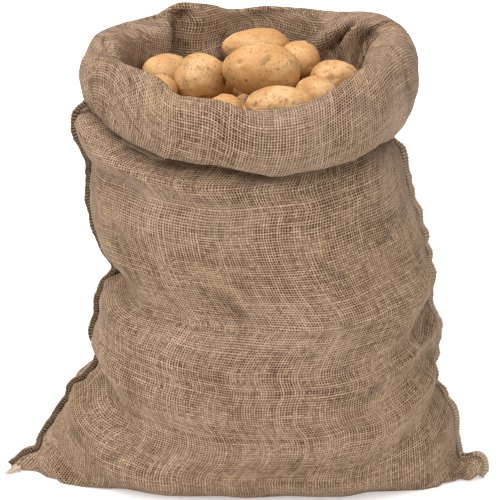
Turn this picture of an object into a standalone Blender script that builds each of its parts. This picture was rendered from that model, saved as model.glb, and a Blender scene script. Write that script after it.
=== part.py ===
"""Filled hessian sack, mouth rolled outwards, standing on its folded base.

The sack is one length of hessian folded across the middle for the base and
overlocked up both sides.  Its outer face is worked out as a stack of closed
rings, from the base fold up the wall, in under the rolled cuff, over the brim
and down to the hem tucked behind the cuff.  Every ring starts at the left seam,
runs round the front to the right seam and comes home round the back.
X runs to the right, the front faces -Y, Z is up.  Tables are in millimetres.
"""
import math

import bmesh
import bpy
import numpy as np
from mathutils import Euler, Vector

MM = 0.001
MIDDLE_AT = (1.4, 1.63, 0.0)   # brings the middle of the whole piece onto the origin

WALL_ROWS = (0, 10, 21, 33, 47, 64, 84, 102, 120, 140, 158, 175, 192, 210, 228, 248,
             270, 292, 308, 322, 344, 370, 398, 420, 432, 440, 446)
ROLL_ROWS = (0, 1.0, 2.0, 2.7, 3.2, 3.7, 4.2, 4.8, 5.5, 6.3, 7.2, 8.1, 9.0, 9.7, 10.4, 11.0)
SHEET = 1.6            # cloth thickness
GAP = 0.5             # clearance between neighbouring pieces
COLUMNS = 54           # warp lines kept round the sack
SEAM_WIDTH = 5.8       # how far the overlocked edge stands out
SEAM_THICK = 3.6

# ---------------------------------------------------------------- wall tables
# t: distance up the cloth from the base fold, measured at the front middle
LEFT_EDGE = (
    # t,    x,   z
    (0, -246, 2.5),
    (10, -241, 7),
    (20, -235, 14),
    (30, -227, 18),
    (42, -217, 22),
    (52, -213, 30),
    (64, -210, 40),
    (78, -203.5, 51),
    (92, -195.5, 62),
    (108, -187, 74),
    (120, -183, 81),
    (130, -182, 90),
    (142, -177, 98),
    (160, -166, 105),
    (175, -156.5, 114),
    (192, -150.5, 128),
    (210, -155.5, 142),
    (225, -157.5, 153),
    (245, -151.5, 170),
    (262, -149.5, 184),
    (280, -147.5, 197),
    (298, -140.5, 212),
    (308, -128.5, 221),
    (318, -133.5, 229),
    (330, -141.5, 241),
    (348, -150.5, 258),
    (380, -156.5, 289),
    (402, -156.5, 312),
    (412, -155, 324),
    (420, -154, 335),
    (426, -159, 345),
    (432, -165, 357),
    (438, -169, 368),
    (442, -170.5, 376),
    (446, -166, 384),
)
RIGHT_EDGE = (
    # t,    x,   z
    (0, 232, 4),
    (10, 236, 12),
    (20, 234, 20),
    (28, 227, 24),
    (38, 219, 22),
    (46, 213, 22),
    (56, 209.5, 30),
    (70, 208.5, 43),
    (88, 207, 57),
    (106, 204, 72),
    (130, 193, 87),
    (146, 185.5, 98),
    (175, 183.5, 114),
    (200, 185.5, 133),
    (240, 187.5, 165),
    (264, 175.5, 186),
    (282, 177.5, 200),
    (300, 178.5, 213),
    (330, 173.5, 240),
    (362, 165.5, 271),
    (382, 158.5, 291),
    (404, 152.5, 311),
    (424, 148.5, 334),
    (446, 138, 356),
)
SEAM_LINE = (
    # t, left y, right y: the seams wander forward and back on their way up
    (0, -19, -36),
    (28, -21, -39),
    (60, -22, -34),
    (110, -22, -26),
    (160, -26, -14),
    (215, -12, -17),
    (265, -18, -26),
    (305, -28, -18),
    (350, -16, -20),
    (400, -10, -25),
    (446, -15, -14),
)
MIDDLE = (
    # t, front y, front z, back y, back z, full
    (0, -28, 0, -28, 0, 8.0),
    (12, -47, 0, -12, 0, 5.4),
    (28, -60, 0, 4, 0, 4.8),
    (58, -75, 0, 46, 0, 4.6),
    (80, -85, 0, 78, 0, 4.2),
    (95, -98, 8, 95, 8, 3.7),
    (115, -111, 22, 111, 22, 3.2),
    (140, -124, 43, 125, 43, 2.8),
    (165, -134, 66, 134, 66, 2.5),
    (190, -141, 90, 140, 90, 2.4),
    (240, -148, 139, 147, 139, 2.3),
    (290, -150, 189, 149, 189, 2.25),
    (340, -148, 239, 148, 239, 2.2),
    (390, -144, 288, 144, 289, 2.15),
    (420, -140, 318, 139, 326, 2.1),
    (446, -135, 344, 129, 362, 2.1),
)

BASE_LINE = (
    # x, share: how far forward the front of the base comes, along its length
    (-250, 0.80),
    (-205, 0.72),
    (-180, 0.76),
    (-150, 0.78),
    (-122, 0.80),
    (-98, 0.92),
    (-60, 0.94),
    (-10, 1.02),
    (40, 0.96),
    (92, 0.95),
    (124, 0.80),
    (158, 0.78),
    (196, 0.88),
    (214, 1.00),
    (250, 1.00),
)

# ---------------------------------------------------------------- mouth table
# crest of the rolled brim, from the left seam round the front;
# face and edge: how far the cuff stands out at its middle and at its lower edge
# low: height of the cuff's lower edge, neck: how far in the wall stands
MOUTH = (
    # name,          x,    y,   z, face, edge, low, neck
    ("left_seam", -144, -15, 439, 18, 13, 391, 22),
    ("left_a", -130, -45, 438, 19, 13, 383, 18),
    ("left_b", -108, -70, 438, 22, 14, 375, 13),
    ("front_a", -88, -90, 433, 24, 14, 370, 12),
    ("front_b", -71, -104, 421, 24, 14, 365, 12),
    ("front_c", -50, -113, 420, 24, 13, 364, 12),
    ("front_d", -28, -120, 419, 23, 12, 364, 12),
    ("front_e", -5, -126, 412, 22, 11, 359, 12),
    ("front_f", 18, -128, 411, 22, 10, 355, 12),
    ("front_g", 42, -125, 415, 23, 10, 358, 12),
    ("front_h", 65, -117, 422, 24, 10, 360, 12),
    ("front_i", 88, -104, 432, 25, 10, 362, 15),
    ("right_a", 110, -82, 441, 25, 9, 367, 17),
    ("right_b", 129, -50, 446, 24, 6, 367, 20),
    ("right_seam", 138, -12, 450, 23, 2, 366, 20),
    ("right_c", 141, 20, 452, 20, 6, 372, 17),
    ("back_a", 132, 42, 459, 21, 12, 379, 12),
    ("back_b", 114, 60, 460, 24, 14, 376, 11),
    ("back_c", 82, 84, 454, 21, 9, 366, 11),
    ("back_d", 46, 97, 455, 17, 8, 368, 11),
    ("back_e", 14, 102, 455, 20, 11, 379, 11),
    ("back_f", -18, 103, 453, 25, 15, 386, 11),
    ("back_g", -44, 98, 458, 24, 12, 380, 11),
    ("back_h", -70, 90, 461, 18, 8, 371, 11),
    ("back_i", -88, 82, 455, 18, 9, 373, 11),
    ("back_j", -107, 68, 451, 22, 13, 383, 11),
    ("left_c", -126, 48, 451, 18, 12, 386, 17),
    ("left_d", -140, 20, 449, 18, 12, 391, 21),
)
# section of the roll: shares of neck, face and edge offsets, share of the drop
ROLL = (
    # name,    neck, face, edge, down
    ("neck", -1.00, 0.00, 0.0, 1.03),
    ("throat", -1.06, 0.00, 0.0, 0.70),
    ("inner", -0.92, 0.00, 0.0, 0.32),
    ("brim_in", -0.54, 0.00, 0.0, 0.07),
    ("crest", 0.00, 0.00, 0.0, 0.00),
    ("brim_out", 0.00, 0.50, 0.0, 0.06),
    ("face_high", 0.00, 0.88, 0.0, 0.26),
    ("face", 0.00, 1.00, 0.0, 0.50),
    ("face_low", 0.00, 0.62, 0.4, 0.84),
    ("edge", 0.00, 0.00, 1.0, 1.00),
    ("tuck", -0.28, 0.00, 0.6, 0.95),
    ("hem", -0.52, 0.00, 0.2, 0.70),
)
# folds of the inside wall, each from a point near the crest to one low down
INNER_FOLDS = (
    # name,      top x, top y, low x, low y, width, depth, from, to (ROLL rows)
    ("right_ridge", 96, 76, 70, 74, 13, 12, 0.0, 3.6),
    ("corner_ridge", 132, 44, 102, 58, 12, 12, 0.0, 3.7),
    ("corner_valley", 141, 20, 122, 34, 9, -6, 0.0, 3.4),
    ("right_bulge", 138, -12, 128, -8, 26, 9, 0.6, 3.6),
    ("left_ridge", -108, 68, -102, 58, 24, 13, 0.6, 3.4),
    ("left_valley", -72, 90, -76, 72, 12, -7, 0.0, 3.6),
    ("back_swell", -52, 80, -52, 78, 24, 9, 0.0, 1.7),
    ("back_wave", 20, 92, 20, 80, 30, -5, 0.5, 3.9),
)
# creases and swellings pressed into the wall, seen from the front
WALL_FOLDS = (
    # name,           x0,  z0,   x1,  z1, width, depth, side
    ("left_pinch", -136, 221, -92, 186, 15, -9, -1),
    ("left_waist", -160, 128, -118, 66, 15, -11, -1),
    ("left_hip", -150, 152, -112, 108, 20, 6, -1),
    ("left_heel", -190, 66, -120, 24, 24, 5, -1),
    ("right_trough", 178, 140, 98, 92, 16, -10, -1),
    ("right_hip", 176, 112, 118, 66, 22, 6, -1),
    ("right_pinch", 176, 188, 142, 158, 13, -8, -1),
    ("right_swell", 168, 222, 150, 196, 20, 6, -1),
    ("shoulder_dip", -120, 336, -40, 318, 14, -6, -1),
    ("under_cuff", -148, 368, -84, 348, 11, -9, -1),
    ("belly", 10, 120, 10, 200, 70, 4, -1),
    ("back_crease_a", -130, 200, -40, 150, 22, -9, 1),
    ("back_crease_b", 140, 240, 50, 190, 24, -8, 1),
    ("back_crease_c", 120, 90, 20, 60, 22, -7, 1),
    ("back_swell_a", -60, 110, 20, 100, 50, 6, 1),
)
EARS = (
    # x where the pinch starts, x of the neck, half thickness past it
    (-206, -222, 11.0),
    (208, 219, 15.0),
)

# -------------------------------------------------------------- filling table
POTATOES = (
    # name,      x,    y,   z, long, wide, deep, turn, dip, roll, taper
    ("potato_01", 11.0, -30.5, 425.3, 38, 26, 27, 4, 6, 10, 0.10),
    ("potato_02", -48.6, -20.0, 413.6, 26, 24, 25, 30, -8, 0, 0.06),
    ("potato_03", 28.5, -85.0, 406.0, 33, 21, 18, -4, 0, 12, -0.08),
    ("potato_04", 6, 44, 430, 34, 22, 18, 2, 0, -8, 0.08),
    ("potato_05", 47.5, 17, 421, 20, 21, 21, 50, 10, 0, 0.05),
    ("potato_06", 63.0, -54.6, 407.6, 22, 18, 18, -28, 10, 0, 0.06),
    ("potato_07", 82.0, -10.5, 411.0, 25, 20, 19, 8, 0, 14, -0.06),
    ("potato_08", -81, 20, 410.5, 25, 21, 18, -10, 2, 0, 0.07),
    ("potato_09", -87.0, -42.3, 406.6, 18.5, 18.5, 18, 20, 0, 0, 0.04),
    ("potato_10", -23.5, -83.0, 398.0, 18, 18, 18, 10, 0, 0, 0.05),
    ("potato_11", -36.0, 22.0, 397.0, 21, 16, 15, 20, 0, 10, 0.05),
    ("potato_12", -41, 56, 398, 22, 15, 16, 8, 0, 0, 0.06),
    ("potato_13", 44, 60, 396, 24, 16, 17, -8, 4, 0, -0.05),
    ("potato_14", 84, 28, 396, 18, 17, 16, 30, 0, 0, 0.04),
    ("potato_15", -60, -72.5, 394, 20, 16, 16, -25, 0, 0, 0.05),
)


def hermite(keys, values, at):
    """Monotone cubic through the rows of a table."""
    keys = np.asarray(keys, float)
    values = np.asarray(values, float)
    at = np.clip(np.asarray(at, float), keys[0], keys[-1])
    step = np.diff(keys)
    grad = np.diff(values) / step
    slope = np.zeros_like(values)
    same = grad[:-1] * grad[1:] > 0
    w1 = 2 * step[1:] + step[:-1]
    w2 = step[1:] + 2 * step[:-1]
    with np.errstate(divide="ignore", invalid="ignore"):
        inner = (w1 + w2) / (w1 / grad[:-1] + w2 / grad[1:])
    slope[1:-1] = np.where(same, inner, 0.0)
    slope[0], slope[-1] = grad[0], grad[-1]
    i = np.clip(np.searchsorted(keys, at, side="right") - 1, 0, len(step) - 1)
    u = (at - keys[i]) / step[i]
    return (
        values[i] * (1 + 2 * u) * (1 - u) ** 2
        + slope[i] * step[i] * u * (1 - u) ** 2
        + values[i + 1] * u * u * (3 - 2 * u)
        + slope[i + 1] * step[i] * u * u * (u - 1)
    )


def ease(value):
    value = np.clip(value, 0.0, 1.0)
    return value * value * (3 - 2 * value)


def shares(columns):
    """Shares of the way along one half ring, closer together at the seams."""
    even = np.linspace(0, 1, columns // 2 + 1)
    return 0.6 * even + 0.4 * (1 - np.cos(np.pi * even)) / 2


def along(points, columns):
    """Take the columns off a finely drawn ring, half by half."""
    half = (len(points) - 1) // 2
    taken = []
    for part in (points[: half + 1], points[half:]):
        length = np.r_[0, np.cumsum(np.linalg.norm(np.diff(part[:, :3], axis=0), axis=1))]
        at = shares(columns)[:-1] * length[-1]
        taken.append(np.stack([np.interp(at, length, part[:, k]) for k in range(part.shape[1])], 1))
    return np.concatenate(taken)


def wall_ring(t, columns):
    """One ring of the wall, t millimetres up the cloth from the base fold."""
    left = [hermite([r[0] for r in LEFT_EDGE], [r[k] for r in LEFT_EDGE], t) for k in (1, 2)]
    right = [hermite([r[0] for r in RIGHT_EDGE], [r[k] for r in RIGHT_EDGE], t) for k in (1, 2)]
    yf, zf, yb, zb, full = [
        hermite([r[0] for r in MIDDLE], [r[k] for r in MIDDLE], t) for k in range(1, 6)
    ]
    turn = np.linspace(0, 2 * np.pi, 2881)
    c, s = np.cos(turn), np.sin(turn)
    out = np.abs(c) ** (2 / full)          # share of the way to the seam
    side = np.abs(s) ** (2 / full)
    line = [hermite([r[0] for r in SEAM_LINE], [r[k] for r in SEAM_LINE], t) for k in (1, 2)]
    middle = 0.5 * (left[0] + right[0])
    edge_x = np.where(c > 0, left[0], right[0])
    edge_z = np.where(c > 0, left[1], right[1])
    x = middle + (edge_x - middle) * out
    seam_y = line[0] + (line[1] - line[0]) * ease((x - left[0]) / (right[0] - left[0]))
    reach = np.where(s >= 0, yf, yb) - seam_y
    held = hermite([r[0] for r in BASE_LINE], [r[1] for r in BASE_LINE], x)
    held = 1 + (held - 1) * ease((128 - t) / 40) * ease(t / 10)
    y = seam_y + reach * side * np.where(s >= 0, held, 1)
    # the rings sag between the seams, and lie flat on the base
    flat = hermite([0, 10, 21, 33, 47, 64, 82, 104, 126, 160, 446],
                   [0.90, 0.89, 0.85, 0.84, 0.87, 0.90, 0.84, 0.68, 0.42, 0.0, 0.0], t)
    rise = np.clip((out - flat) / (1 - flat), 0, 1) ** (2.0 + 1.8 * ease((t - 90) / 120))
    z = np.where(s >= 0, zf, zb)
    z = z + (edge_z - z) * rise
    for start, neck, most in EARS:
        squeeze = ease((x - start) / (neck - start))
        off = y - seam_y
        y = seam_y + off * (1 - squeeze) + squeeze * most * off / (np.abs(off) + 0.6 * most)
    return along(np.stack([x, y, z], 1), columns)


def mouth_curve(columns):
    """Crest of the brim with its section sizes, taken at the columns."""
    rows = np.array([r[1:] for r in MOUTH], float)
    count = len(rows)
    seam = [r[0] for r in MOUTH].index("right_seam")
    ring = np.concatenate([rows[-3:], rows, rows[:4]])
    chord = np.r_[0, np.cumsum(np.linalg.norm(np.diff(ring[:, :3], axis=0), axis=1))]

    def spline(at):
        i = np.clip(np.searchsorted(chord, at, side="right") - 1, 1, len(chord) - 3)
        u = ((at - chord[i]) / (chord[i + 1] - chord[i]))[:, None]
        p0, p1, p2, p3 = ring[i - 1], ring[i], ring[i + 1], ring[i + 2]
        return 0.5 * (
            2 * p1 + (p2 - p0) * u + (2 * p0 - 5 * p1 + 4 * p2 - p3) * u**2
            + (3 * p1 - p0 - 3 * p2 + p3) * u**3
        )

    first, half, last = chord[3], chord[3 + seam], chord[3 + count]
    front = spline(np.linspace(first, half, 1441))
    back = spline(np.linspace(half, last, 1441))[1:]
    dense = np.concatenate([front, back])
    closed = np.concatenate([dense[-41:-1], dense, dense[1:41]])
    run = (closed[80:] - closed[:-80])[:, :2]
    run /= np.linalg.norm(run, axis=1)[:, None]
    outward = np.stack([run[:, 1], -run[:, 0]], 1)
    return along(np.concatenate([dense, outward], 1), columns)


def roll_ring(mouth, q):
    """One ring of the cuff; q counts down the rows of ROLL."""
    keys = range(len(ROLL))
    neck, face, edge, down = [hermite(keys, [r[k] for r in ROLL], q) for k in (1, 2, 3, 4)]
    crest, sizes, outward = mouth[:, :3], mouth[:, 3:7], mouth[:, 7:9]
    out = neck * sizes[:, 3] + face * sizes[:, 0] + edge * sizes[:, 1]
    for _, tx, ty, lx, ly, width, depth, start, end in INNER_FOLDS:
        inner = ease((q - start + 0.6) / 0.6) * ease((end - q) / 0.9)
        if inner > 0:
            share = np.clip(q / 3.5, 0, 1)
            cx, cy = lx + (tx - lx) * share, ly + (ty - ly) * share
            base = crest[:, :2] + outward * out[:, None]
            away = np.hypot(base[:, 0] - cx, base[:, 1] - cy)
            near = np.clip(away - away.min(), 0, None)
            out = out - depth * inner * np.exp(-((near / width) ** 2))
    ring = crest.copy()
    ring[:, :2] += outward * out[:, None]
    ring[:, 2] -= down * (crest[:, 2] - sizes[:, 2])
    return ring


def press(grid):
    """Press the wall folds into the rings, along the face's own direction."""
    across = np.roll(grid, -1, axis=1) - np.roll(grid, 1, axis=1)
    up = np.gradient(grid, axis=0)
    normal = np.cross(across, up)
    normal /= np.maximum(np.linalg.norm(normal, axis=2), 1e-9)[..., None]
    push = np.zeros(grid.shape[:2])
    for _, x0, z0, x1, z1, width, depth, side in WALL_FOLDS:
        px, pz = grid[..., 0] - x0, grid[..., 2] - z0
        dx, dz = x1 - x0, z1 - z0
        share = np.clip((px * dx + pz * dz) / (dx * dx + dz * dz), 0, 1)
        away = np.hypot(px - share * dx, pz - share * dz)
        fade = ease((side * (grid[..., 1] + 18) - 8) / 30)
        fade *= ease((grid[..., 2] - 6) / 30)
        push += depth * np.exp(-((away / width) ** 2)) * fade * (1 - 0.45 * share)
    return grid + normal * push[..., None]


def sack_rings(columns, wall_rows, roll_rows):
    """All rings from the base fold to the hem."""
    wall = press(np.stack([wall_ring(t, columns) for t in wall_rows]))
    mouth = mouth_curve(columns)
    roll = np.stack([roll_ring(mouth, q) for q in roll_rows])
    return np.concatenate([wall, roll])


# ------------------------------------------------------------------- building
def clear_scene():
    for item in list(bpy.data.objects):
        bpy.data.objects.remove(item, do_unlink=True)
    for group in list(bpy.data.collections):
        bpy.data.collections.remove(group)


def material(name, colour, rough):
    made = bpy.data.materials.new(name)
    made.use_nodes = True
    shader = made.node_tree.nodes["Principled BSDF"]
    shader.inputs["Base Color"].default_value = (*colour, 1)
    shader.inputs["Roughness"].default_value = rough
    shader.inputs["Metallic"].default_value = 0
    made.diffuse_color = (*colour, 1)
    return made


def add(name, verts, faces, home, look, facing=True):
    mesh = bpy.data.meshes.new(name)
    mesh.from_pydata([tuple(float(c + m) * MM for c, m in zip(v, MIDDLE_AT)) for v in verts], [], faces)
    if facing:
        work = bmesh.new()
        work.from_mesh(mesh)
        bmesh.ops.recalc_face_normals(work, faces=work.faces)
        work.to_mesh(mesh)
        work.free()
    mesh.materials.append(look)
    for face in mesh.polygons:
        face.use_smooth = True
    made = bpy.data.objects.new(name, mesh)
    home.objects.link(made)
    return made


def build_sack(home, look):
    rings = sack_rings(COLUMNS, WALL_ROWS, ROLL_ROWS)
    count, columns = rings.shape[:2]
    half = columns // 2
    verts, index = [], np.zeros((count, columns), int)
    for r in range(count):
        for c in range(columns):
            if r == 0 and c > half:          # the fold: the back shares the front's line
                index[r, c] = index[0, columns - c]
                continue
            index[r, c] = len(verts)
            verts.append(rings[r, c])
    faces = []
    for r in range(count - 1):
        for c in range(columns):
            d = (c + 1) % columns
            four = [int(i) for i in (index[r, c], index[r, d], index[r + 1, d], index[r + 1, c])]
            if r == 0 and c in (0, half):            # the two corners of the base
                faces += [[four[0], four[1], four[2]], [four[0], four[2], four[3]]]
            elif r == 0 and d in (0, half):
                faces += [[four[1], four[2], four[3]], [four[1], four[3], four[0]]]
            else:
                faces.append(four)
    sack = add("sack", verts, faces, home, look, facing=False)
    thick = sack.modifiers.new("cloth thickness", "SOLIDIFY")
    thick.thickness = SHEET * MM
    thick.offset = -1
    thick.use_even_offset = False
    thick.use_rim = True
    return rings


def build_seam(name, path, home, look):
    """Overlocked edge: a flattened cord standing out from the folded-together edges."""
    steps = np.gradient(path, axis=0)
    section = [(math.cos(a), math.sin(a)) for a in np.linspace(0, 2 * math.pi, 9)[:-1]]
    side = -1 if path[0, 0] < 0 else 1
    verts = []
    for point, step in zip(path, steps):
        step = step / np.linalg.norm(step)
        out = np.cross(step, (0, 1, 0))
        out[1] = 0
        out /= np.linalg.norm(out)
        if out[0] * side < 0 and abs(out[0]) > 0.05:
            out = -out
        if abs(out[0]) <= 0.05 and out[2] < 0:
            out = -out
        wide = np.cross(step, out)
        wide /= np.linalg.norm(wide)
        centre = point + out * (GAP + SEAM_WIDTH / 2)
        for a, b in section:
            verts.append(centre + out * a * SEAM_WIDTH / 2 + wide * b * SEAM_THICK / 2)
    n, m = len(path), len(section)
    faces = [list(range(m))[::-1], [(n - 1) * m + k for k in range(m)]]
    for r in range(n - 1):
        for k in range(m):
            d = (k + 1) % m
            faces.append([r * m + k, r * m + d, (r + 1) * m + d, (r + 1) * m + k])
    return add(name, verts, faces, home, look)


def build_potato(row, home, look):
    name, x, y, z, long, wide, deep, turn, dip, roll, taper = row
    work = bmesh.new()
    bmesh.ops.create_icosphere(work, subdivisions=3, radius=1)
    spin = Euler([math.radians(v) for v in (roll, dip, turn)]).to_matrix()
    for vert in work.verts:
        p = vert.co.copy()
        swell = 1 + 0.035 * math.sin(3.1 * p.x + x) * math.cos(2.3 * p.y + y)
        fat = (1 + taper * p.x) * swell
        local = Vector((p.x * long, p.y * wide * fat, p.z * deep * fat))
        vert.co = (spin @ local + Vector((x, y, z)) + Vector(MIDDLE_AT)) * MM
    mesh = bpy.data.meshes.new(name)
    work.to_mesh(mesh)
    work.free()
    mesh.materials.append(look)
    for face in mesh.polygons:
        face.use_smooth = True
    made = bpy.data.objects.new(name, mesh)
    home.objects.link(made)
    return made


FILL = (
    # z, left, right, front, back, full
    (7, -172, 172, -54, 62, 3.6),
    (22, -180, 184, -74, 82, 3.2),
    (60, -168, 176, -104, 104, 2.7),
    (110, -138, 160, -118, 118, 2.3),
    (160, -130, 155, -128, 128, 2.2),
    (215, -112, 150, -130, 130, 2.2),
    (270, -128, 140, -126, 126, 2.2),
    (320, -122, 124, -112, 114, 2.1),
    (350, -104, 104, -92, 86, 2.0),
    (372, -90, 90, -78, 68, 2.0),
    (380, -60, 60, -52, 44, 2.0),
)


def build_fill(home, look, columns=28):
    verts, faces = [], []
    for z, left, right, front, back, full in FILL:
        for k in range(columns):
            a = 2 * math.pi * k / columns
            c, s = math.cos(a), math.sin(a)
            verts.append((
                (right if c > 0 else -left) * math.copysign(abs(c) ** (2 / full), c),
                (back if s > 0 else -front) * math.copysign(abs(s) ** (2 / full), s) - 4,
                z,
            ))
    for r in range(len(FILL) - 1):
        for k in range(columns):
            d = (k + 1) % columns
            faces.append([r * columns + k, r * columns + d, (r + 1) * columns + d, (r + 1) * columns + k])
    faces.append(list(range(columns))[::-1])
    faces.append([(len(FILL) - 1) * columns + k for k in range(columns)])
    return add("potato_fill", verts, faces, home, look)


def main():
    clear_scene()
    home = bpy.data.collections.new("hessian_sack")
    bpy.context.scene.collection.children.link(home)
    hessian = material("hessian", (0.32, 0.21, 0.13), 0.95)
    thread = material("overlock_thread", (0.25, 0.19, 0.12), 0.9)
    skin = material("potato_skin", (0.52, 0.26, 0.09), 0.6)
    rings = build_sack(home, hessian)
    top = len(WALL_ROWS)
    build_seam("seam_left", rings[:top, 0], home, thread)
    build_seam("seam_right", rings[:top, COLUMNS // 2], home, thread)
    for row in POTATOES:
        build_potato(row, home, skin)
    build_fill(home, skin)


main()
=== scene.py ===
"""The looks of a filled hessian sack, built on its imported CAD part."""

import math
import random

import bmesh
import bpy
import numpy as np
from mathutils import Euler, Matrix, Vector, noise


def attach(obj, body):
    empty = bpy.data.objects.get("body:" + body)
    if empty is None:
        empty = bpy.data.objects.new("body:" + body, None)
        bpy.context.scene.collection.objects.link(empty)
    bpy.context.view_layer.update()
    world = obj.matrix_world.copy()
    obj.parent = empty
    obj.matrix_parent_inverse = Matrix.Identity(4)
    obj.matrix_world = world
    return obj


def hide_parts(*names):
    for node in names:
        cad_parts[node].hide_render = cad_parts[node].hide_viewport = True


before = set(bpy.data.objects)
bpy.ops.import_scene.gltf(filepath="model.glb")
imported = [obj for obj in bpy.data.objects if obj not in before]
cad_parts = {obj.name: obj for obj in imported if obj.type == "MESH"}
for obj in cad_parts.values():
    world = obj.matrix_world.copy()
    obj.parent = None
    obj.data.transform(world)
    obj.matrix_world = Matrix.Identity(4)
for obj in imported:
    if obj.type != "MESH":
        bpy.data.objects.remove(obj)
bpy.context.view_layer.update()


MM = 0.001
MIDDLE_AT = (1.4, 1.63, 0.0)   # brings the middle of the whole piece onto the origin

SHEET = 1.6            # cloth thickness
GAP = 0.5             # clearance between neighbouring pieces
SEAM_WIDTH = 5.8       # how far the overlocked edge stands out
SEAM_THICK = 3.6

# ---------------------------------------------------------------- wall tables
# t: distance up the cloth from the base fold, measured at the front middle
LEFT_EDGE = (
    # t,    x,   z
    (0, -246, 2.5),
    (10, -241, 7),
    (20, -235, 14),
    (30, -227, 18),
    (42, -217, 22),
    (52, -213, 30),
    (64, -210, 40),
    (78, -203.5, 51),
    (92, -195.5, 62),
    (108, -187, 74),
    (120, -183, 81),
    (130, -182, 90),
    (142, -177, 98),
    (160, -166, 105),
    (175, -156.5, 114),
    (192, -150.5, 128),
    (210, -155.5, 142),
    (225, -157.5, 153),
    (245, -151.5, 170),
    (262, -149.5, 184),
    (280, -147.5, 197),
    (298, -140.5, 212),
    (308, -128.5, 221),
    (318, -133.5, 229),
    (330, -141.5, 241),
    (348, -150.5, 258),
    (380, -156.5, 289),
    (402, -156.5, 312),
    (412, -155, 324),
    (420, -154, 335),
    (426, -159, 345),
    (432, -165, 357),
    (438, -169, 368),
    (442, -170.5, 376),
    (446, -166, 384),
)
RIGHT_EDGE = (
    # t,    x,   z
    (0, 232, 4),
    (10, 236, 12),
    (20, 234, 20),
    (28, 227, 24),
    (38, 219, 22),
    (46, 213, 22),
    (56, 209.5, 30),
    (70, 208.5, 43),
    (88, 207, 57),
    (106, 204, 72),
    (130, 193, 87),
    (146, 185.5, 98),
    (175, 183.5, 114),
    (200, 185.5, 133),
    (240, 187.5, 165),
    (264, 175.5, 186),
    (282, 177.5, 200),
    (300, 178.5, 213),
    (330, 173.5, 240),
    (362, 165.5, 271),
    (382, 158.5, 291),
    (404, 152.5, 311),
    (424, 148.5, 334),
    (446, 138, 356),
)
SEAM_LINE = (
    # t, left y, right y: the seams wander forward and back on their way up
    (0, -19, -36),
    (28, -21, -39),
    (60, -22, -34),
    (110, -22, -26),
    (160, -26, -14),
    (215, -12, -17),
    (265, -18, -26),
    (305, -28, -18),
    (350, -16, -20),
    (400, -10, -25),
    (446, -15, -14),
)
MIDDLE = (
    # t, front y, front z, back y, back z, full
    (0, -28, 0, -28, 0, 8.0),
    (12, -47, 0, -12, 0, 5.4),
    (28, -60, 0, 4, 0, 4.8),
    (58, -75, 0, 46, 0, 4.6),
    (80, -85, 0, 78, 0, 4.2),
    (95, -98, 8, 95, 8, 3.7),
    (115, -111, 22, 111, 22, 3.2),
    (140, -124, 43, 125, 43, 2.8),
    (165, -134, 66, 134, 66, 2.5),
    (190, -141, 90, 140, 90, 2.4),
    (240, -148, 139, 147, 139, 2.3),
    (290, -150, 189, 149, 189, 2.25),
    (340, -148, 239, 148, 239, 2.2),
    (390, -144, 288, 144, 289, 2.15),
    (420, -140, 318, 139, 326, 2.1),
    (446, -135, 344, 129, 362, 2.1),
)

BASE_LINE = (
    # x, share: how far forward the front of the base comes, along its length
    (-250, 0.80),
    (-205, 0.72),
    (-180, 0.76),
    (-150, 0.78),
    (-122, 0.80),
    (-98, 0.92),
    (-60, 0.94),
    (-10, 1.02),
    (40, 0.96),
    (92, 0.95),
    (124, 0.80),
    (158, 0.78),
    (196, 0.88),
    (214, 1.00),
    (250, 1.00),
)

# ---------------------------------------------------------------- mouth table
# crest of the rolled brim, from the left seam round the front;
# face and edge: how far the cuff stands out at its middle and at its lower edge
# low: height of the cuff's lower edge, neck: how far in the wall stands
MOUTH = (
    # name,          x,    y,   z, face, edge, low, neck
    ("left_seam", -144, -15, 439, 18, 13, 391, 22),
    ("left_a", -130, -45, 438, 19, 13, 383, 18),
    ("left_b", -108, -70, 438, 22, 14, 375, 13),
    ("front_a", -88, -90, 433, 24, 14, 370, 12),
    ("front_b", -71, -104, 421, 24, 14, 365, 12),
    ("front_c", -50, -113, 420, 24, 13, 364, 12),
    ("front_d", -28, -120, 419, 23, 12, 364, 12),
    ("front_e", -5, -126, 412, 22, 11, 359, 12),
    ("front_f", 18, -128, 411, 22, 10, 355, 12),
    ("front_g", 42, -125, 415, 23, 10, 358, 12),
    ("front_h", 65, -117, 422, 24, 10, 360, 12),
    ("front_i", 88, -104, 432, 25, 10, 362, 15),
    ("right_a", 110, -82, 441, 25, 9, 367, 17),
    ("right_b", 129, -50, 446, 24, 6, 367, 20),
    ("right_seam", 138, -12, 450, 23, 2, 366, 20),
    ("right_c", 141, 20, 452, 20, 6, 372, 17),
    ("back_a", 132, 42, 459, 21, 12, 379, 12),
    ("back_b", 114, 60, 460, 24, 14, 376, 11),
    ("back_c", 82, 84, 454, 21, 9, 366, 11),
    ("back_d", 46, 97, 455, 17, 8, 368, 11),
    ("back_e", 14, 102, 455, 20, 11, 379, 11),
    ("back_f", -18, 103, 453, 25, 15, 386, 11),
    ("back_g", -44, 98, 458, 24, 12, 380, 11),
    ("back_h", -70, 90, 461, 18, 8, 371, 11),
    ("back_i", -88, 82, 455, 18, 9, 373, 11),
    ("back_j", -107, 68, 451, 22, 13, 383, 11),
    ("left_c", -126, 48, 451, 18, 12, 386, 17),
    ("left_d", -140, 20, 449, 18, 12, 391, 21),
)
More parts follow.
